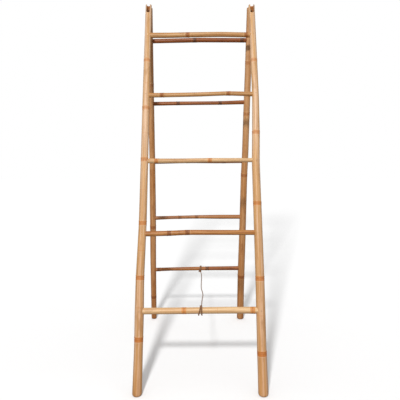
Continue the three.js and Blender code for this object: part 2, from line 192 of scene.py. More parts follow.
# ---------- materials ----------
def bamboo_skin(name, pale, tan, dark, node_colour, edge_colour):
    """The smooth skin of a culm. Its vertices hold culm_co, the place on the straightened culm in
    metres, node_gap, the distance up from the nearest node in millimetres, tone, how dark the culm
    is there, or how light below zero, and band, how strongly its nodes are coloured."""
    n = Nodes(name)
    place = n.attribute("culm_co", "Vector")
    gap = n.attribute("node_gap")
    tone = n.attribute("tone")
    wide = n.noise(n.stretched(place, (150, 150, 3.2)), detail=2, roughness=0.5)
    streaks = n.noise(n.stretched(place, (330, 330, 7)), detail=4, roughness=0.65)
    fine = n.noise(n.stretched(place, (1100, 1100, 14)), detail=3)
    blotches = n.noise(n.stretched(place, (40, 40, 16)), detail=3, roughness=0.6)
    skin = n.mix(n.span(wide, 0.42, 0.58), tan, pale)
    skin = n.mix(n.span(streaks, 0.43, 0.7, 0, 0.6), skin, dark)
    skin = n.mix(n.span(blotches, 0.52, 0.72, 0, 0.5), skin, dark)
    skin = n.mix(n.span(fine, 0.4, 0.75, 0, 0.3), skin, dark)
    skin = n.mix(tone, skin, n.mix(1.0, skin, linear(216, 180, 138), "MULTIPLY"))
    skin = n.mix(n.math("MULTIPLY", tone, -1, True), skin, n.mix(0.5, skin, linear(244, 212, 176)))
    wobble = n.noise(n.stretched(place, (90, 90, 40)), detail=3)
    wavy_gap = n.math("ADD", gap, n.math("MULTIPLY", n.math("SUBTRACT", wobble, 0.5), 3))
    band = n.math("MULTIPLY", n.span(wavy_gap, -9.5, -8), n.span(wavy_gap, 7.5, 9.5, 1, 0))
    mottle = n.noise(n.stretched(place, (260, 260, 90)), detail=3, roughness=0.6)
    node_skin = n.mix(n.span(mottle, 0.4, 0.7, 0, 0.6), node_colour, edge_colour)
    node_skin = n.mix(n.math("MULTIPLY", tone, 0.8, True), node_skin, edge_colour)
    node_skin = n.mix(n.math("MULTIPLY", tone, -1.4, True), node_skin, linear(222, 146, 72))
    skin = n.mix(n.math("MULTIPLY", band, n.attribute("band")), skin, node_skin)
    scar = n.math("MULTIPLY", n.span(gap, -1.7, -0.5), n.span(gap, 0.4, 1.5, 1, 0))
    skin = n.mix(n.math("MULTIPLY", scar, 0.55), skin, edge_colour)
    bloom = n.math("MULTIPLY", n.span(gap, -14, -10), n.span(gap, -9.5, -8.5, 1, 0))
    skin = n.mix(n.math("MULTIPLY", bloom, 0.3), skin, pale)
    specks = n.noise(n.stretched(place, (420, 420, 150)), detail=2, roughness=0.7)
    skin = n.mix(n.span(specks, 0.62, 0.74, 0, 0.55), skin, edge_colour)
    n.link(skin, n.shader.inputs["Base Color"])
    n.link(n.span(streaks, 0.3, 0.8, 0.42, 0.6), n.shader.inputs["Roughness"])
    n.shader.inputs["Coat Weight"].default_value = 0.08
    n.shader.inputs["Coat Roughness"].default_value = 0.35
    n.shader.inputs["Specular IOR Level"].default_value = 0.3
    fibres = n.bump(n.noise(n.stretched(place, (1700, 1700, 30)), detail=2), 0.00012, 0.5)
    n.link(n.bump(streaks, 0.0006, 0.45, fibres), n.shader.inputs["Normal"])
    return n.material


def bamboo_cut(name):
    """The sawn ends and the inside of a culm: pale wood with the dark dots of its fibres at the rim,
    and brown further in, as end_depth, the distance from the end in millimetres, grows. From 22 to
    38 mm in, the brown goes almost black: painted shade deep in the bore."""
    n = Nodes(name)
    place = n.attribute("culm_co", "Vector")
    depth = n.attribute("end_depth")
    cells = n.add("ShaderNodeTexVoronoi")
    cells.inputs["Scale"].default_value = 1.0
    n.link(n.stretched(place, (900, 900, 60)), cells.inputs["Vector"])
    dots = n.span(cells.outputs["Distance"], 0.16, 0.34, 1, 0)
    patches = n.noise(n.stretched(place, (120, 120, 40)), detail=3)
    wood = n.mix(n.span(patches, 0.35, 0.7), linear(190, 140, 90), linear(150, 98, 56))
    wood = n.mix(n.math("MULTIPLY", dots, 0.65), wood, linear(92, 54, 28))
    inside = n.mix(n.span(patches, 0.3, 0.7), linear(176, 112, 60), linear(140, 84, 40))
    # painted shade: the bore goes almost black from 22 to 38 mm in from the end, where shade falls inside
    # the culm
    inside = n.mix(n.span(depth, 22, 38), inside, linear(52, 24, 10))
    n.link(n.mix(n.span(depth, 0.6, 2.5), wood, inside), n.shader.inputs["Base Color"])
    n.shader.inputs["Roughness"].default_value = 0.8
    n.shader.inputs["Specular IOR Level"].default_value = 0.2
    n.link(n.bump(dots, 0.0002, 0.5), n.shader.inputs["Normal"])
    return n.material


def jute(name, light, dark):
    """Twisted plant fibre. Its vertices hold cord_co, metres round and along a strand, and cord_hollow,
    how deep a point lies in the groove between strands, which is darkened there as painted shade.
    """
    n = Nodes(name)
    place = n.attribute("cord_co", "Vector")
    groove_shade = n.attribute("cord_hollow")
    fibres = n.noise(n.stretched(place, (2600, 2600, 160)), detail=3)
    patches = n.noise(n.stretched(place, (60, 60, 45)), detail=2)
    colour = n.mix(n.span(fibres, 0.3, 0.7), dark, light)
    colour = n.mix(n.span(patches, 0.4, 0.7, 0, 0.45), colour, linear(176, 138, 120))
    # painted shade: the grooves between the strands are darkened towards dark brown
    colour = n.mix(n.math("MULTIPLY", groove_shade, 0.75), colour, linear(86, 66, 50))
    n.link(colour, n.shader.inputs["Base Color"])
    n.shader.inputs["Roughness"].default_value = 0.92
    n.shader.inputs["Sheen Weight"].default_value = 0.25
    n.shader.inputs["Specular IOR Level"].default_value = 0.15
    n.link(n.bump(fibres, 0.0002, 0.8), n.shader.inputs["Normal"])
    return n.material


def nail_steel(name):
    n = Nodes(name)
    place = n.add("ShaderNodeTexCoord").outputs["Object"]
    wear = n.noise(n.stretched(place, (700, 700, 700)), detail=3)
    colour = n.mix(n.span(wear, 0.4, 0.7), linear(196, 176, 150), linear(140, 108, 76))
    n.link(colour, n.shader.inputs["Base Color"])
    n.link(n.span(wear, 0.3, 0.7, 0.3, 0.55), n.shader.inputs["Roughness"])
    n.shader.inputs["Metallic"].default_value = 1
    return n.material


CUT = bamboo_cut("bamboo_cut")
SKINS = {
    "front_pole": bamboo_skin("front_pole_skin", linear(222, 186, 152), linear(208, 163, 109),
                              linear(168, 122, 76), linear(204, 122, 46), linear(158, 88, 36)),
    "front_rung": bamboo_skin("front_rung_skin", linear(216, 180, 130), linear(198, 150, 94),
                              linear(148, 98, 50), linear(176, 106, 46), linear(112, 60, 22)),
    # The back ladder's colours are darker than the front's: partly its own browner wood, partly painted
    # shade for lying further from the key light.
    "back_pole": bamboo_skin("back_pole_skin", linear(198, 150, 102), linear(182, 127, 74),
                             linear(142, 88, 45), linear(158, 88, 34), linear(110, 60, 26)),
    "back_rung": bamboo_skin("back_rung_skin", linear(172, 112, 56), linear(148, 88, 38),
                             linear(104, 52, 20), linear(110, 62, 26), linear(72, 38, 16)),
}
CORD = jute("jute_cord", linear(172, 146, 124), linear(114, 90, 72))
KNOT = jute("jute_knot", linear(158, 110, 66), linear(92, 58, 32))
STEEL = nail_steel("nail_steel")


# ---------- cords ----------
def smooth_path(points, step):
    """Points a step apart on a centripetal Catmull-Rom curve through the given points."""
    points = [np.array(point, float) for point in points]
    points = [2 * points[0] - points[1]] + points + [2 * points[-1] - points[-2]]
    out = []
    for p0, p1, p2, p3 in zip(points, points[1:], points[2:], points[3:]):
        t1 = np.linalg.norm(p1 - p0) ** 0.5
        t2 = t1 + np.linalg.norm(p2 - p1) ** 0.5
        t3 = t2 + np.linalg.norm(p3 - p2) ** 0.5
        count = max(2, round(float(np.linalg.norm(p2 - p1)) / step))
        for t in np.linspace(t1, t2, count, endpoint=False):
            a1 = (t1 - t) / t1 * p0 + t / t1 * p1
            a2 = (t2 - t) / (t2 - t1) * p1 + (t - t1) / (t2 - t1) * p2
            a3 = (t3 - t) / (t3 - t2) * p2 + (t - t2) / (t3 - t2) * p3
            b1 = (t2 - t) / t2 * a1 + t / t2 * a2
            b2 = (t3 - t) / (t3 - t1) * a2 + (t - t1) / (t3 - t1) * a3
            out.append((t2 - t) / (t2 - t1) * b1 + (t - t1) / (t2 - t1) * b2)
    out.append(points[-2])
    return np.array(out)


def add_rope(mesh, path, diameter, fuzz, seed, taper=0.0):
    """Adds a rope of three twisted strands along the path to a bmesh, with loose fibres on it."""
    sides = 18
    radius = diameter / 2
    position_layer = mesh.verts.layers.float_vector["cord_co"]
    hollow_layer = mesh.verts.layers.float["cord_hollow"]
    tangents = np.gradient(path, axis=0)
    tangents /= np.linalg.norm(tangents, axis=1)[:, None]
    normal = np.cross(tangents[0], (0.3, 0.2, 0.93))
    travelled = 0.0
    rings = []
    frames = []
    for i, (point, tangent) in enumerate(zip(path, tangents)):
        normal = normal - tangent * float(normal @ tangent)
        normal /= np.linalg.norm(normal)
        binormal = np.cross(tangent, normal)
        frames.append((normal, binormal))
        if i:
            travelled += float(np.linalg.norm(point - path[i - 1]))
        from_end = 1 - i / (len(path) - 1)
        thin = 1 - taper * (1 - min(1.0, from_end * 4))
        ring = []
        for k in range(sides):
            angle = 2 * math.pi * k / sides
            lobe = abs(math.cos(1.5 * (angle - 2 * math.pi * travelled / CORD_LAY)))
            bulge = lobe ** 0.7
            reach = radius * thin * (0.74 + 0.28 * bulge)
            place = point + reach * (math.cos(angle) * normal + math.sin(angle) * binormal)
            vertex = mesh.verts.new(place)
            vertex[position_layer] = (reach * math.cos(angle), reach * math.sin(angle), travelled)
            # how deep in the groove between strands, which the jute material darkens as painted shade
            vertex[hollow_layer] = 1 - bulge
            ring.append(vertex)
        rings.append(ring)
    for ring, following in zip(rings, rings[1:]):
        for k in range(sides):
            after = (k + 1) % sides
            mesh.faces.new((ring[k], ring[after], following[after], following[k]))
    mesh.faces.new(list(reversed(rings[0])))
    mesh.faces.new(rings[-1])
    draw = random.Random(seed)
    for _ in range(fuzz):
        i = draw.randrange(2, len(path) - 2)
        normal, binormal = frames[i]
        angle = draw.uniform(0, 2 * math.pi)
        out = math.cos(angle) * normal + math.sin(angle) * binormal
        side = -math.sin(angle) * normal + math.cos(angle) * binormal
        length = draw.uniform(0.0008, 0.0022)
        lean = draw.uniform(-1, 1) * tangents[i] + 0.6 * draw.uniform(-1, 1) * side
        root = path[i] + out * radius * 0.8
        middle = root + (out * 0.6 + lean) * length * 0.6
        tip = root + (out * 0.9 + 1.5 * lean) * length
        add_hair(mesh, root, middle, tip, side, 0.00007)


def add_hair(mesh, root, middle, tip, side, width):
    """One loose fibre: a thin three-sided spike that bends once."""
    along = (tip - root) / np.linalg.norm(tip - root)
    across = np.cross(along, side)
    base = [mesh.verts.new(root + width * v) for v in (side, across, -side - across)]
    bend = [mesh.verts.new(middle + 0.7 * width * v) for v in (side, across, -side - across)]
    point = mesh.verts.new(tip)
    for k in range(3):
        after = (k + 1) % 3
        mesh.faces.new((base[k], base[after], bend[after], bend[k]))
        mesh.faces.new((bend[k], bend[after], point))
    mesh.faces.new(list(reversed(base)))


def new_rope_mesh():
    mesh = bmesh.new()
    mesh.verts.layers.float_vector.new("cord_co")
    mesh.verts.layers.float.new("cord_hollow")
    return mesh


def finish_object(name, mesh, materials):
    """An object of a finished bmesh, with smooth faces and the given materials."""
    bmesh.ops.recalc_face_normals(mesh, faces=mesh.faces)
    data = bpy.data.meshes.new(name)
    mesh.to_mesh(data)
    mesh.free()
    for face in data.polygons:
        face.use_smooth = True
    for material in materials:
        data.materials.append(material)
    made = bpy.data.objects.new(name, data)
    bpy.context.scene.collection.objects.link(made)
    return made


def build_spread_cord():
    route = [(x + FOOTPRINT_SHIFT, y, z) for x, y, z in SPREAD_CORD_ROUTE]
    path = smooth_path(route, 0.0008)
    mesh = new_rope_mesh()
    add_rope(mesh, path, CORD_DIAMETER, 320, 11)
    cord = finish_object("spread_cord_rope", mesh, [CORD])
    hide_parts("spread_cord")
    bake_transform(cord, "front_ladder", "back_ladder", start=route[-1], end=route[0])
    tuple(route[0])


build_spread_cord()


# ---------- ladders' own frames ----------
def ladder_matrix(ladder):
    """From a ladder's own upright frame, hinge line at its origin, to the row frame."""
    return Matrix.Translation(HINGE) @ Matrix.Rotation(OUTWARD[ladder] * LEAN, 4, "X")


class Section:
    """Measures a CAD node's cross-sections in its ladder's own frame."""

    def __init__(self, node, ladder, axis):
        data = frame["nodes"][node].data
        back = ladder_matrix(ladder).inverted()
        self.points = np.array([back @ v.co for v in data.vertices])
        self.edges = np.array([e.vertices[:] for e in data.edges])
        self.axis = axis

    def extents(self, at):
        """Lowest and highest corner of the section at that place on the axis."""
        start = self.points[self.edges[:, 0]]
        end = self.points[self.edges[:, 1]]
        before = start[:, self.axis] - at
        after = end[:, self.axis] - at
        crossing = before * after < 0
        share = (before[crossing] / (before[crossing] - after[crossing]))[:, None]
        cut = start[crossing] + share * (end[crossing] - start[crossing])
        return cut.min(0), cut.max(0)


def find_nodes(places, radii):
    """Where along a culm its radius has the small peak of a node."""
    found = []
    for i in range(3, len(places) - 3):
        near = radii[i - 3:i + 4]
        if radii[i] == near.max() and radii[i] - (near[0] + near[-1]) / 2 > 0.0005:
            if not found or places[i] - found[-1] > NODE_REACH:
                found.append(places[i])
    return found


def smoothed(places, values, nodes, window):
    """Values without the nodes' swellings, smoothed over a window, as a function of place."""
    places = np.array(places)
    values = np.array(values)
    clear = np.ones(len(places), bool)
    for node in nodes:
        clear &= np.abs(places - node) > NODE_REACH
    plain = np.interp(places, places[clear], values[clear])
    step = places[1] - places[0]
    reach = max(1, round(window / step))
    kernel = np.hanning(2 * reach + 3)[1:-1]
    kernel /= kernel.sum()
    padded = np.concatenate([
        2 * plain[0] - plain[reach:0:-1], plain, 2 * plain[-1] - plain[-2:-reach - 2:-1],
    ])
    soft = np.convolve(padded, kernel, "valid")
    return lambda place: float(np.interp(place, places, soft))


SAMPLE = 0.003  # between the sections that are measured along a culm


def measure_pole(ladder, side):
    """A pole's centre line, radius and nodes, against the distance down from the hinge line."""
    section = Section(f"{ladder}_{side}_pole", ladder, 2)
    outward = OUTWARD[ladder]
    lowest = section.points[:, 2].min()
    downs = np.arange(0.006, -lowest - 0.012, SAMPLE)
    cuts = [section.extents(-down) for down in downs]
    middle = float(np.median([(low[1] + high[1]) / 2 for low, high in cuts]))
    inner = [(low[1] if outward > 0 else high[1]) for low, high in cuts]
    radii = np.array([abs(value - middle) for value in inner])
    if side == "left":
        centres = np.array([low[0] for low, high in cuts]) + radii
    else:
        centres = np.array([high[0] for low, high in cuts]) - radii
    nodes = find_nodes(downs, radii)
    return {
        "nodes": nodes,
        "radius": smoothed(downs, radii, nodes, 0.03),
        "x": smoothed(downs, centres, nodes, 0.045),
        "y": middle,
    }


def measure_rung(ladder, index, left, right):
    """A rung's centre line, radius and nodes, against x in the ladder's own frame, from its left
    pole's skin to its right pole's."""
    section = Section(f"{ladder}_rung_{index}", ladder, 0)
    places = np.arange(left, right, SAMPLE)
    cuts = [section.extents(place) for place in places]
    radii = np.array([(high[1] - low[1]) / 2 for low, high in cuts])
    heights = np.array([(high[2] + low[2]) / 2 for low, high in cuts])
    nodes = find_nodes(places, radii)
    return {
        "nodes": nodes,
        "radius": smoothed(places, radii, nodes, 0.03),
        "z": smoothed(places, heights, nodes, 0.03),
        "y": float(np.median([(high[1] + low[1]) / 2 for low, high in cuts])),
    }


# ---------- culms ----------
def steady(value):
    """The same value everywhere along a culm."""
    return lambda place: value


def no_end(across, up, place):
    """The end depth of a rung, whose ends are hidden in the poles."""
    return 0.0


def darker_down(top, foot):
    """A value that goes from one at a pole's top to another at its foot, mostly low down."""
    return lambda down: top + (foot - top) * min(1.0, max(0.0, down / POLE_LENGTH)) ** 2


def node_swell(gap):
    """How far the culm stands proud at a distance up from a node: a sharp scar, a groove above it,
    then the soft ridge."""
    scar = 0.00065 * math.exp(-((gap / 0.0011) ** 2))
    groove = -0.0004 * math.exp(-(((gap - 0.003) / 0.0016) ** 2))
    ridge = 0.0008 * math.exp(-(((gap - 0.0065) / 0.0034) ** 2))
    below = 0.0003 * math.exp(-(((gap + 0.006) / 0.005) ** 2))
    return scar + groove + ridge + below


def culm_stations(start, end, nodes, coarse=0.014):
    """Places for the rings of a culm: close together at its nodes, further apart between."""
    places = {round(start, 5), round(end, 5)}
    places.update(round(float(p), 5) for p in np.arange(start, end, coarse))
    for node in nodes:
        places.update(round(float(p), 5) for p in np.arange(node - 0.015, node + 0.018, 0.0009))
    ordered = sorted(place for place in places if start <= place <= end)
    kept = [ordered[0]]
    for place in ordered[1:]:
        if place - kept[-1] > 0.0004:
            kept.append(place)
    return kept


def culm_outline(seed, nodes, upward):
    """The culm's section as a function of place and angle: a little out of round, with a shallow
    groove above each node on alternate sides and a small trimmed bud at its foot."""
    draw = random.Random(seed)
    oval = draw.uniform(0.006, 0.016)
    turn = draw.uniform(0, math.pi)
    bud_angle = draw.uniform(0, 2 * math.pi)
    buds = {}
    for i, node in enumerate(nodes):
        buds[node] = bud_angle + (i % 2) * math.pi + draw.uniform(-0.2, 0.2)

    def share(place, angle):
        value = 1 + oval * math.cos(2 * (angle - turn))
        for node, bud in buds.items():
            gap = (place - node) * upward
            across = math.atan2(math.sin(angle - bud), math.cos(angle - bud))
            if 0 < gap < 0.12:
                depth = 0.03 * math.exp(-gap / 0.045) * min(1.0, gap / 0.006)
                value -= depth * math.exp(-((across / 0.42) ** 2))
            if -0.002 < gap < 0.012:
                rise = 0.075 * math.exp(-(((gap - 0.0045) / 0.0022) ** 2))
                value += rise * math.exp(-((across / 0.2) ** 2))
        return value

    return share


def add_culm_attributes(data, to_straight, nodes, upward, tone, band, end_depth, seed):
    """Stores what the bamboo materials read, from each vertex's place on the straightened culm."""
    count = len(data.vertices)
    places = np.zeros((count, 3), np.float32)
    gaps = np.zeros(count, np.float32)
    tones = np.zeros(count, np.float32)
    depths = np.zeros(count, np.float32)
    bands = np.zeros(count, np.float32)
    shift = random.Random(seed).uniform(1, 50)
    for i, vertex in enumerate(data.vertices):
        across, up, along = to_straight(vertex.co)
        places[i] = (across + shift, up + shift * 0.37, along)
        signed = [(along - node) * upward for node in nodes] or [1.0]
        gaps[i] = 1000 * min(signed, key=abs)
        tones[i] = tone(along)
        depths[i] = 1000 * end_depth(across, up, along)
        bands[i] = band(along)
    for name, kind, values in (
        ("culm_co", "FLOAT_VECTOR", places), ("node_gap", "FLOAT", gaps), ("tone", "FLOAT", tones),
        ("end_depth", "FLOAT", depths), ("band", "FLOAT", bands),
    ):
        layer = data.attributes.new(name, kind, "POINT")
        layer.data.foreach_set("vector" if kind == "FLOAT_VECTOR" else "value", values.ravel())


def loft(mesh, rings):
    """Joins rings of points, each a list of as many, into one closed surface."""
    made = [[mesh.verts.new(point) for point in ring] for ring in rings]
    sides = len(made[0])
    for ring, following in zip(made, made[1:]):
        for k in range(sides):
            after = (k + 1) % sides
            mesh.faces.new((ring[k], ring[after], following[after], following[k]))
    for ring, flip in ((made[0], True), (made[-1], False)):
        centre = mesh.verts.new(sum((v.co for v in ring), Vector()) / sides)
        for k in range(sides):
            corners = (ring[k], ring[(k + 1) % sides], centre)
            mesh.faces.new(tuple(reversed(corners)) if flip else corners)


def cut_by(target, cutters):
    """Cuts closed meshes out of an object, and deletes the cutters."""
    for cutter in cutters:
        modifier = target.modifiers.new("cut", "BOOLEAN")
        modifier.operation = "DIFFERENCE"
        modifier.solver = "EXACT"
        modifier.object = cutter
    bpy.context.view_layer.update()
    evaluated = target.evaluated_get(bpy.context.evaluated_depsgraph_get())
    data = bpy.data.meshes.new_from_object(evaluated)
    target.modifiers.clear()
    target.data = data
    for cutter in cutters:
        bpy.data.objects.remove(cutter)


def notch_cutter(x, y, outward):
    """The thumb notch at a pole's top, through the outward wall: straight sides, a round lower end
    and rounded corners at the rim."""
    flare = NOTCH_FLARE
    half = NOTCH_WIDTH / 2
    low = half - NOTCH_DEPTH
    outline = [(-half - flare, 0.02)]
    for k in range(5):
        angle = math.pi / 2 * (1 - k / 4)
        outline.append((-half - flare * (1 - math.cos(angle)), flare * (math.sin(angle) - 1)))
    outline.append((-half, low))
    for k in range(1, 12):
        angle = math.pi + math.pi * k / 12
        outline.append((half * math.cos(angle), low + half * math.sin(angle)))
    outline += [(half, low), (half, -flare)]
    for k in range(1, 5):
        angle = math.pi / 2 * k / 4
        outline.append((half + flare * (1 - math.cos(angle)), flare * (math.sin(angle) - 1)))
    outline.append((half + flare, 0.02))
    mesh = bmesh.new()
    near = [mesh.verts.new((x + px, y, pz)) for px, pz in outline]
    far = [mesh.verts.new((x + px, y + outward * 0.04, pz)) for px, pz in outline]
    count = len(outline)
    for k in range(count):
        after = (k + 1) % count
        mesh.faces.new((near[k], near[after], far[after], far[k]))
    mesh.faces.new(list(reversed(near)))
    mesh.faces.new(far)
    return finish_object("notch_cutter", mesh, [])


POLE_SIDES = 44
RIM_ROUND = 0.0012
RIM_WEAR = 0.003  # the rims have worn down by this much
FOOT_ROUND = 0.0065
TOP_BORE = 0.09
FOOT_BORE = 0.06


def build_pole(ladder, side, seed, tone):
    culm = measure_pole(ladder, side)
    outward = OUTWARD[ladder]
    tilt = math.tan(outward * LEAN)
    top = culm["y"] * tilt + RIM_WEAR
    foot = (HINGE.z + culm["y"] * math.sin(outward * LEAN)) / math.cos(LEAN)
    share = culm_outline(seed, culm["nodes"], -1)
    draw = random.Random(seed + 500)
    bow = draw.uniform(0.0006, 0.0014)
    phase = draw.uniform(0, 6)

    def ring(down, radius, level, measured_at=None):
        """Points round the pole; level is 1 where the ring lies level and 0 where it is square."""
        at = min(max(down, top + 0.004), foot - 0.004) if measured_at is None else measured_at
        centre_x = culm["x"](at)
        fade = min(1.0, (at - top) / 0.15, (foot - at) / 0.15)
        centre_y = culm["y"] + max(0.0, fade) * bow * math.sin(at * 9 + phase)
        points = []
        for k in range(POLE_SIDES):
            angle = 2 * math.pi * k / POLE_SIDES
            reach = radius * share(down, angle)
            x = reach * math.cos(angle)
            y = reach * math.sin(angle)
            points.append(Vector((centre_x + x, centre_y + y, -(down + level * y * tilt))))
        return points

    def outer_radius(down):
        swell = sum(node_swell(node - down) for node in culm["nodes"] if abs(node - down) < 0.03)
        return culm["radius"](down) + swell

    def levelness(down):
        near = min(down - top, foot - down)
        return max(0.0, 1 - near / 0.08) ** 2

    top_radius = culm["radius"](top + 0.01)
    foot_radius = culm["radius"](foot - 0.01)
    rings = []
    for depth in (TOP_BORE, TOP_BORE * 0.6, 0.03, 0.012, 0.004, 0.0006):
        rings.append(ring(top + depth, top_radius - POLE_WALL, levelness(top + depth)))
    rings.append(ring(top, top_radius - POLE_WALL + 0.0005, 1))
    for k in range(5):
        angle = math.pi / 2 * k / 4
        inset = RIM_ROUND * (1 - math.sin(angle))
        drop = RIM_ROUND * (1 - math.cos(angle))
        rings.append(ring(top + drop, top_radius - inset, 1))
    for down in culm_stations(top + 0.004, foot - 0.008, culm["nodes"]):
        rings.append(ring(down, outer_radius(down), levelness(down)))
    for k in range(6):
        angle = math.pi / 2 * k / 5
        inset = FOOT_ROUND * (1 - math.cos(angle))
        drop = FOOT_ROUND * (1 - math.sin(angle))
        rings.append(ring(foot - drop, foot_radius - inset, 1))
    rings.append(ring(foot, foot_radius - POLE_WALL - 0.0005, 1))
    for depth in (0.0008, 0.01, 0.03, FOOT_BORE):
        rings.append(ring(foot - depth, foot_radius - POLE_WALL - 0.001, levelness(foot - depth)))

    mesh = bmesh.new()
    loft(mesh, rings)
    pole = finish_object(f"{ladder}_{side}_culm", mesh, [SKINS[f"{ladder}_pole"], CUT])
    cut_by(pole, [notch_cutter(culm["x"](top + 0.004), culm["y"], outward)])

    def to_straight(point):
        down = -point.z
        at = min(max(down, top + 0.004), foot - 0.004)
        return point.x - culm["x"](at), point.y - culm["y"], down

    def is_cut(face):
        across, depth, down = to_straight(face.center)
        level_down = down - depth * tilt
        inside = math.hypot(across, depth) < culm["radius"](min(max(down, top), foot)) - 0.0017
        rim = abs(face.normal.z) > 0.8 and (level_down < top + 0.002 or level_down > foot - 0.002)
        return inside or rim

    data = pole.data
    for face in data.polygons:
        face.material_index = 1 if is_cut(face) else 0

    def end_depth(across, up, down):
        level_down = down - up * tilt
        return max(0.0, min(level_down - top, foot - level_down))

    band = darker_down(0.4, 0.95)
    add_culm_attributes(data, to_straight, culm["nodes"], -1, tone, band, end_depth, seed)
    data.transform(ladder_matrix(ladder))
    data.set_sharp_from_angle(angle=math.radians(42))
    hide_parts(f"{ladder}_{side}_pole")
    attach(pole, f"{ladder}_ladder")
    return culm


RUNG_SIDES = 36


def build_rung(ladder, index, poles, seed, tone):
    node_name = f"{ladder}_rung_{index}"
    lowest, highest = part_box(node_name)
    middle_down = (HINGE.z - (lowest.z + highest.z) / 2) / math.cos(LEAN)
    left = poles["left"]["x"](middle_down) + poles["left"]["radius"](middle_down) + 0.001
    right = poles["right"]["x"](middle_down) - poles["right"]["radius"](middle_down) - 0.001
    culm = measure_rung(ladder, index, left, right)
    upward = random.Random(seed).choice((-1, 1))
    share = culm_outline(seed, culm["nodes"], upward)
    height = culm["z"](0)
    ends = [poles[side]["x"](-height) for side in ("left", "right")]

    def outer_radius(place):
        near = [node for node in culm["nodes"] if abs(place - node) < 0.03]
        return culm["radius"](place) + sum(0.8 * node_swell((place - node) * upward) for node in near)

    def held(place, value):
        """Carries a measured line on, straight, past the last place that was measured."""
        inside = min(max(place, left), right)
        slope = (value(inside) - value(inside - math.copysign(0.02, inside))) / 0.02
        return value(inside) + slope * abs(place - inside)

    rings = []
    for place in culm_stations(ends[0], ends[1], culm["nodes"], 0.01):
        points = []
        for k in range(RUNG_SIDES):
            angle = 2 * math.pi * k / RUNG_SIDES
            reach = outer_radius(place) * share(place, angle)
            y = culm["y"] + reach * math.cos(angle)
            z = held(place, culm["z"]) + reach * math.sin(angle)
            points.append(Vector((place, y, z)))
        rings.append(points)
    mesh = bmesh.new()
    loft(mesh, rings)
    rung = finish_object(f"{node_name}_culm", mesh, [SKINS[f"{ladder}_rung"]])

    def to_straight(point):
        return point.y - culm["y"], point.z - held(point.x, culm["z"]), point.x

    band = steady(0.85)
    add_culm_attributes(rung.data, to_straight, culm["nodes"], upward, tone, band, no_end, seed)
    rung.data.transform(ladder_matrix(ladder))
    rung.data.set_sharp_from_angle(angle=math.radians(50))
    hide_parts(node_name)
    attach(rung, f"{ladder}_ladder")
    return culm


def darker_beyond(edge, base, dark, soft=0.006):
    """A tone that goes from base to dark to the right of a place along a rung."""
    def tone(place):
        return base + (dark - base) * min(1.0, max(0.0, (place - edge) / soft))
    return tone


# How dark each culm is.
POLE_TONES = {
    ("front", "left"): darker_down(0.0, 0.5), ("front", "right"): darker_down(0.0, 0.5),
    ("back", "left"): darker_down(-0.1, 0.6), ("back", "right"): darker_down(-0.15, 0.45),
}
RUNG_TONES = {
    ("front", 1): steady(0.4), ("front", 2): steady(0.4), ("front", 3): steady(-0.3),
    ("front", 4): steady(0.95), ("front", 5): steady(-0.4),
    ("back", 1): steady(0.8), ("back", 2): steady(0.6), ("back", 3): steady(0.3),
    ("back", 4): steady(-0.1), ("back", 5): darker_beyond(0.036, 0.05, 0.5),
}

# What was measured on each culm, for the pieces that sit on it.
RUNG_COUNT = sum(1 for name in frame["nodes"] if name.startswith("front_rung_"))
POLES = {}
RUNGS = {}
seed = 20
for ladder_name in ("front", "back"):
    for side_name in ("left", "right"):
        seed += 1
        tone = POLE_TONES[ladder_name, side_name]
        POLES[ladder_name, side_name] = build_pole(ladder_name, side_name, seed, tone)
    own_poles = {side_name: POLES[ladder_name, side_name] for side_name in ("left", "right")}
    for number in range(1, RUNG_COUNT + 1):
        seed += 1
        tone = RUNG_TONES[ladder_name, number]
        RUNGS[ladder_name, number] = build_rung(ladder_name, number, own_poles, seed, tone)


# ---------- nails ----------
def build_nail(node):
    """A round brad with a slightly domed head, where the CAD nail is."""
    ladder = node.split("_")[0]
    back = ladder_matrix(ladder).inverted()
    points = np.array([back @ v.co for v in frame["nodes"][node].data.vertices])
    outward = OUTWARD[ladder]
    reach = points[:, 1] * outward
    head = reach.max()
    tip = reach.min()
    middle = (points.min(0) + points.max(0)) / 2
    outline = [
        (0.0002, tip), (0.001, tip + 0.002), (0.001, head - 0.0008), (0.0015, head - 0.0008),
        (0.0016, head - 0.0006), (0.00155, head - 0.00035), (0.0013, head - 0.00012),
        (0.0008, head - 0.00003), (0.0002, head),
    ]
    sides = 20
    rings = []
    for radius, distance in outline:
        ring = []
        for k in range(sides):
            angle = 2 * math.pi * k / sides
            x = middle[0] + radius * math.cos(angle)
            z = middle[2] + radius * math.sin(angle)
            ring.append(Vector((x, outward * distance, z)))
        rings.append(ring)
    mesh = bmesh.new()
    loft(mesh, rings)
    nail = finish_object(f"{node}_brad", mesh, [STEEL])
    nail.data.transform(ladder_matrix(ladder))
    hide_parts(node)
    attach(nail, f"{ladder}_ladder")


for node_name in sorted(frame["nodes"]):
    if "_nail_" in node_name:
        build_nail(node_name)


# ---------- knots and ties ----------
def trefoil(centre, size, turn=0.0, tip=0.0):
    """The path of a small overhand knot round a centre."""
    angles = np.linspace(0, 2 * math.pi, 90)
    path = np.stack([
        np.sin(angles) + 2 * np.sin(2 * angles),
        np.cos(angles) - 2 * np.cos(2 * angles),
        -np.sin(3 * angles),
    ], axis=1) * size / 3
    rotation = np.array(Matrix.Rotation(turn, 3, "Z") @ Matrix.Rotation(tip, 3, "X"))
    return path @ rotation.T + np.array(centre)


def rung_loop(ladder, x, leaning, start, turn):
    """The path of cord once round the lowest rung in its ladder's frame. Angle 0 is at the top of
    the rung and grows towards the other ladder; leaning gives the sideways shift at an angle."""
    culm = RUNGS[ladder, RUNG_COUNT]
    inward = -OUTWARD[ladder]
    path = []
    for angle in np.linspace(start, start + turn, 60):
        reach = culm["radius"](x) + TURN_DIAMETER * 0.47
        path.append((
            x + leaning(angle),
            culm["y"] + inward * reach * math.sin(angle),
            culm["z"](x) + reach * math.cos(angle),
        ))
    return np.array(path)


def place_knot(name, mesh, ladder, node):
    made = finish_object(name, mesh, [KNOT])
    made.data.transform(ladder_matrix(ladder))
    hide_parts(node)
    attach(made, f"{ladder}_ladder")


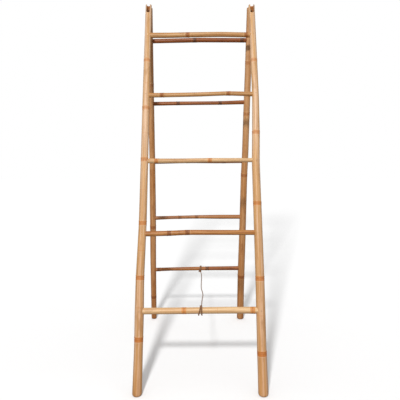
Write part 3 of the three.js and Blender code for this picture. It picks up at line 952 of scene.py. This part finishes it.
def add_frayed_end(mesh, points, diameter, seed):
    """A short end of rope through the points, its last fibres loose and spread."""
    path = smooth_path(points, 0.0004)
    add_rope(mesh, path, diameter, 50, seed, 0.35)
    draw = random.Random(seed + 1)
    onward = path[-1] - path[-4]
    onward /= np.linalg.norm(onward)
    side = np.cross(onward, (0.2, 0.9, 0.3))
    side /= np.linalg.norm(side)
    other = np.cross(onward, side)
    for _ in range(26):
        out = draw.uniform(-1, 1) * side + draw.uniform(-1, 1) * other
        root = path[-3] + out * diameter * 0.22
        length = draw.uniform(0.0015, 0.0034)
        middle = root + (onward + 0.25 * out) * length * 0.5
        tip = root + (onward + 0.75 * out) * length
        add_hair(mesh, root, middle, tip, side, 0.00016)


def add_turn(mesh, ladder, x, top_shift, bottom_shift, start, turn, seed):
    """A turn of cord round the lowest rung that slants from top_shift to bottom_shift."""
    def leaning(angle):
        return top_shift + (bottom_shift - top_shift) * (0.5 - 0.5 * math.cos(angle))
    loop = rung_loop(ladder, x, leaning, start, turn)
    add_rope(mesh, loop, TURN_DIAMETER, 30, seed)
    return leaning


def build_front_knot():
    """Two turns that part as they come down over the rung's front, their cut ends just below it,
    and the knot behind the rung's top where the spread cord arrives."""
    x = 0.003
    culm = RUNGS["front", RUNG_COUNT]
    mesh = new_rope_mesh()
    for top_shift, bottom_shift, seed in ((-0.0019, -0.0088, 31), (0.0021, 0.0022, 37)):
        leaning = add_turn(mesh, "front", x, top_shift, bottom_shift, 0.7, 0.3 - 2 * math.pi, seed)
        base = rung_loop("front", x, leaning, -2.5, 0.02)[0]
        aside = math.copysign(0.0012, bottom_shift)
        below = [base, base + (aside * 0.5, 0.0006, -0.002), base + (aside, 0.0012, -0.0045)]
        add_frayed_end(mesh, below, TURN_DIAMETER, seed + 2)
    reach = culm["radius"](x) + KNOT_REACH
    angle = FRONT_KNOT_ANGLE
    centre = (x, culm["y"] + reach * math.sin(angle), culm["z"](x) + reach * math.cos(angle))
    add_rope(mesh, trefoil(centre, KNOT_SIZE, 0.4, 0.9), CORD_DIAMETER * 0.8, 30, 51)
    place_knot("front_knot_rope", mesh, "front", "front_cord_knot")


def build_back_knot():
    """Two turns that slant across the rung, the knot below it, and a short end that stands above."""
    x = 0.0015
    culm = RUNGS["back", RUNG_COUNT]
    mesh = new_rope_mesh()
    for shift, seed in ((-0.0008, 61), (0.0038, 67)):
        add_turn(mesh, "back", x, shift, shift - 0.0055, 2.7, 0.2 - 2 * math.pi, seed)
    top = rung_loop("back", x, steady(0.001), 0.1, 0.02)[0]
    above = [top, top + (0.0004, -0.0006, 0.0022), top + (0.0012, -0.0008, 0.0058)]
    add_frayed_end(mesh, above, CORD_DIAMETER * 0.7, 71)
    reach = culm["radius"](x) + KNOT_REACH
    angle = BACK_KNOT_ANGLE
    centre = (x, culm["y"] - reach * math.sin(angle), culm["z"](x) + reach * math.cos(angle))
    add_rope(mesh, trefoil(centre, KNOT_SIZE, 0.2, 1.2), CORD_DIAMETER * 0.85, 30, 73)
    middle = np.array(centre)
    tail = [middle, middle + (-0.0045, -0.001, -0.0012), middle + (-0.0095, -0.0015, -0.0018)]
    add_frayed_end(mesh, tail, CORD_DIAMETER * 0.85, 79)
    place_knot("back_knot_rope", mesh, "back", "back_cord_knot")


def build_hinge_tie(side):
    """The cord through both poles' inner walls, with a stopper knot inside each."""
    node = f"{side}_hinge_cord"
    low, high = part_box(node)
    middle = (low + high) / 2
    knot = 0.0044
    front = (middle.x, low.y + knot, middle.z)
    back = (middle.x, high.y - knot, middle.z)
    mesh = new_rope_mesh()
    add_rope(mesh, smooth_path([front, tuple(middle), back], 0.0005), TIE_DIAMETER, 20, 81)
    for end, seed_value in ((front, 83), (back, 89)):
        add_rope(mesh, trefoil(end, 0.0029, 0.3, 1.4), TIE_DIAMETER * 0.8, 16, seed_value)
    tie = finish_object(f"{side}_hinge_tie", mesh, [KNOT])
    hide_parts(node)
    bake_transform(tie, "front_ladder", "back_ladder", start=(middle.x, -0.006, middle.z),
             end=(middle.x, 0.006, middle.z))


build_front_knot()
build_back_knot()
for side_name in ("left", "right"):
    build_hinge_tie(side_name)


# ---------- floor, light, world ----------
KEY_PLACE = Vector((-0.44, -2.64, 2.26))
KEY_POWER = 33
KEY_RADIUS = 0.155
FLOOR_WHITE = 0.9
SKY_STRENGTH = 0.56
BOUNCE_WHITE = 0.3


def studio_floor(name):
    """A white floor. The camera sees it evenly white all the way to the horizon, because it glows by
    as much as the key light's slant takes away there, so that only shadows are darker."""
    n = Nodes(name)
    n.tree.nodes.remove(n.shader)
    place = n.add("ShaderNodeNewGeometry").outputs["Position"]
    away = n.add("ShaderNodeVectorMath", operation="SUBTRACT")
    n.link(place, away.inputs[0])
    away.inputs[1].default_value = KEY_PLACE
    distance = n.add("ShaderNodeVectorMath", operation="LENGTH")
    n.link(away.outputs[0], distance.inputs[0])
    full = FLOOR_WHITE * KEY_POWER / (4 * math.pi ** 2) * KEY_PLACE.z
    key_light = n.math("DIVIDE", full, distance.outputs["Value"])
    missing = n.math("SUBTRACT", 1.01 - FLOOR_WHITE * SKY_STRENGTH, key_light, True)
    matt = n.add("ShaderNodeBsdfDiffuse")
    matt.inputs["Color"].default_value = (FLOOR_WHITE, FLOOR_WHITE, FLOOR_WHITE, 1)
    glow = n.add("ShaderNodeEmission")
    n.link(missing, glow.inputs["Strength"])
    shown = n.add("ShaderNodeAddShader")
    n.link(matt.outputs[0], shown.inputs[0])
    n.link(glow.outputs[0], shown.inputs[1])
    dim = n.add("ShaderNodeBsdfDiffuse")
    dim.inputs["Color"].default_value = (BOUNCE_WHITE, BOUNCE_WHITE, BOUNCE_WHITE, 1)
    mix = n.add("ShaderNodeMixShader")
    n.link(n.add("ShaderNodeLightPath").outputs["Is Camera Ray"], mix.inputs[0])
    n.link(dim.outputs[0], mix.inputs[1])
    n.link(shown.outputs[0], mix.inputs[2])
    n.link(mix.outputs[0], n.tree.nodes["Material Output"].inputs["Surface"])
    return n.material


floor_mesh = bmesh.new()
corners = [(-40, -40), (40, -40), (40, 40), (-40, 40)]
floor_mesh.faces.new([floor_mesh.verts.new((x, y, 0)) for x, y in corners])
floor = finish_object("floor", floor_mesh, [studio_floor("floor")])

key_data = bpy.data.lights.new("key", "POINT")
key_data.energy = KEY_POWER
key_data.shadow_soft_size = KEY_RADIUS
key_data.use_nodes = True
falloff = key_data.node_tree.nodes.new("ShaderNodeLightFalloff")
falloff.inputs["Strength"].default_value = 1
key_emission = key_data.node_tree.nodes["Emission"]
key_data.node_tree.links.new(falloff.outputs["Constant"], key_emission.inputs["Strength"])
key = bpy.data.objects.new("key", key_data)
key.location = KEY_PLACE
bpy.context.scene.collection.objects.link(key)

world = bpy.data.worlds.new("studio")
world.use_nodes = True
bpy.context.scene.world = world
world_nodes = world.node_tree.nodes
links = world.node_tree.links
lighting = world_nodes["Background"]
lighting.inputs["Color"].default_value = (1, 1, 1, 1)
lighting.inputs["Strength"].default_value = SKY_STRENGTH
backdrop = world_nodes.new("ShaderNodeBackground")
backdrop.inputs["Color"].default_value = (1, 1, 1, 1)
backdrop.inputs["Strength"].default_value = 1.0
seen = world_nodes.new("ShaderNodeMixShader")
world_path = world_nodes.new("ShaderNodeLightPath")
links.new(world_path.outputs["Is Camera Ray"], seen.inputs[0])
links.new(lighting.outputs[0], seen.inputs[1])
links.new(backdrop.outputs[0], seen.inputs[2])
links.new(seen.outputs[0], world_nodes["World Output"].inputs["Surface"])
bpy.context.scene.view_settings.view_transform = "Standard"
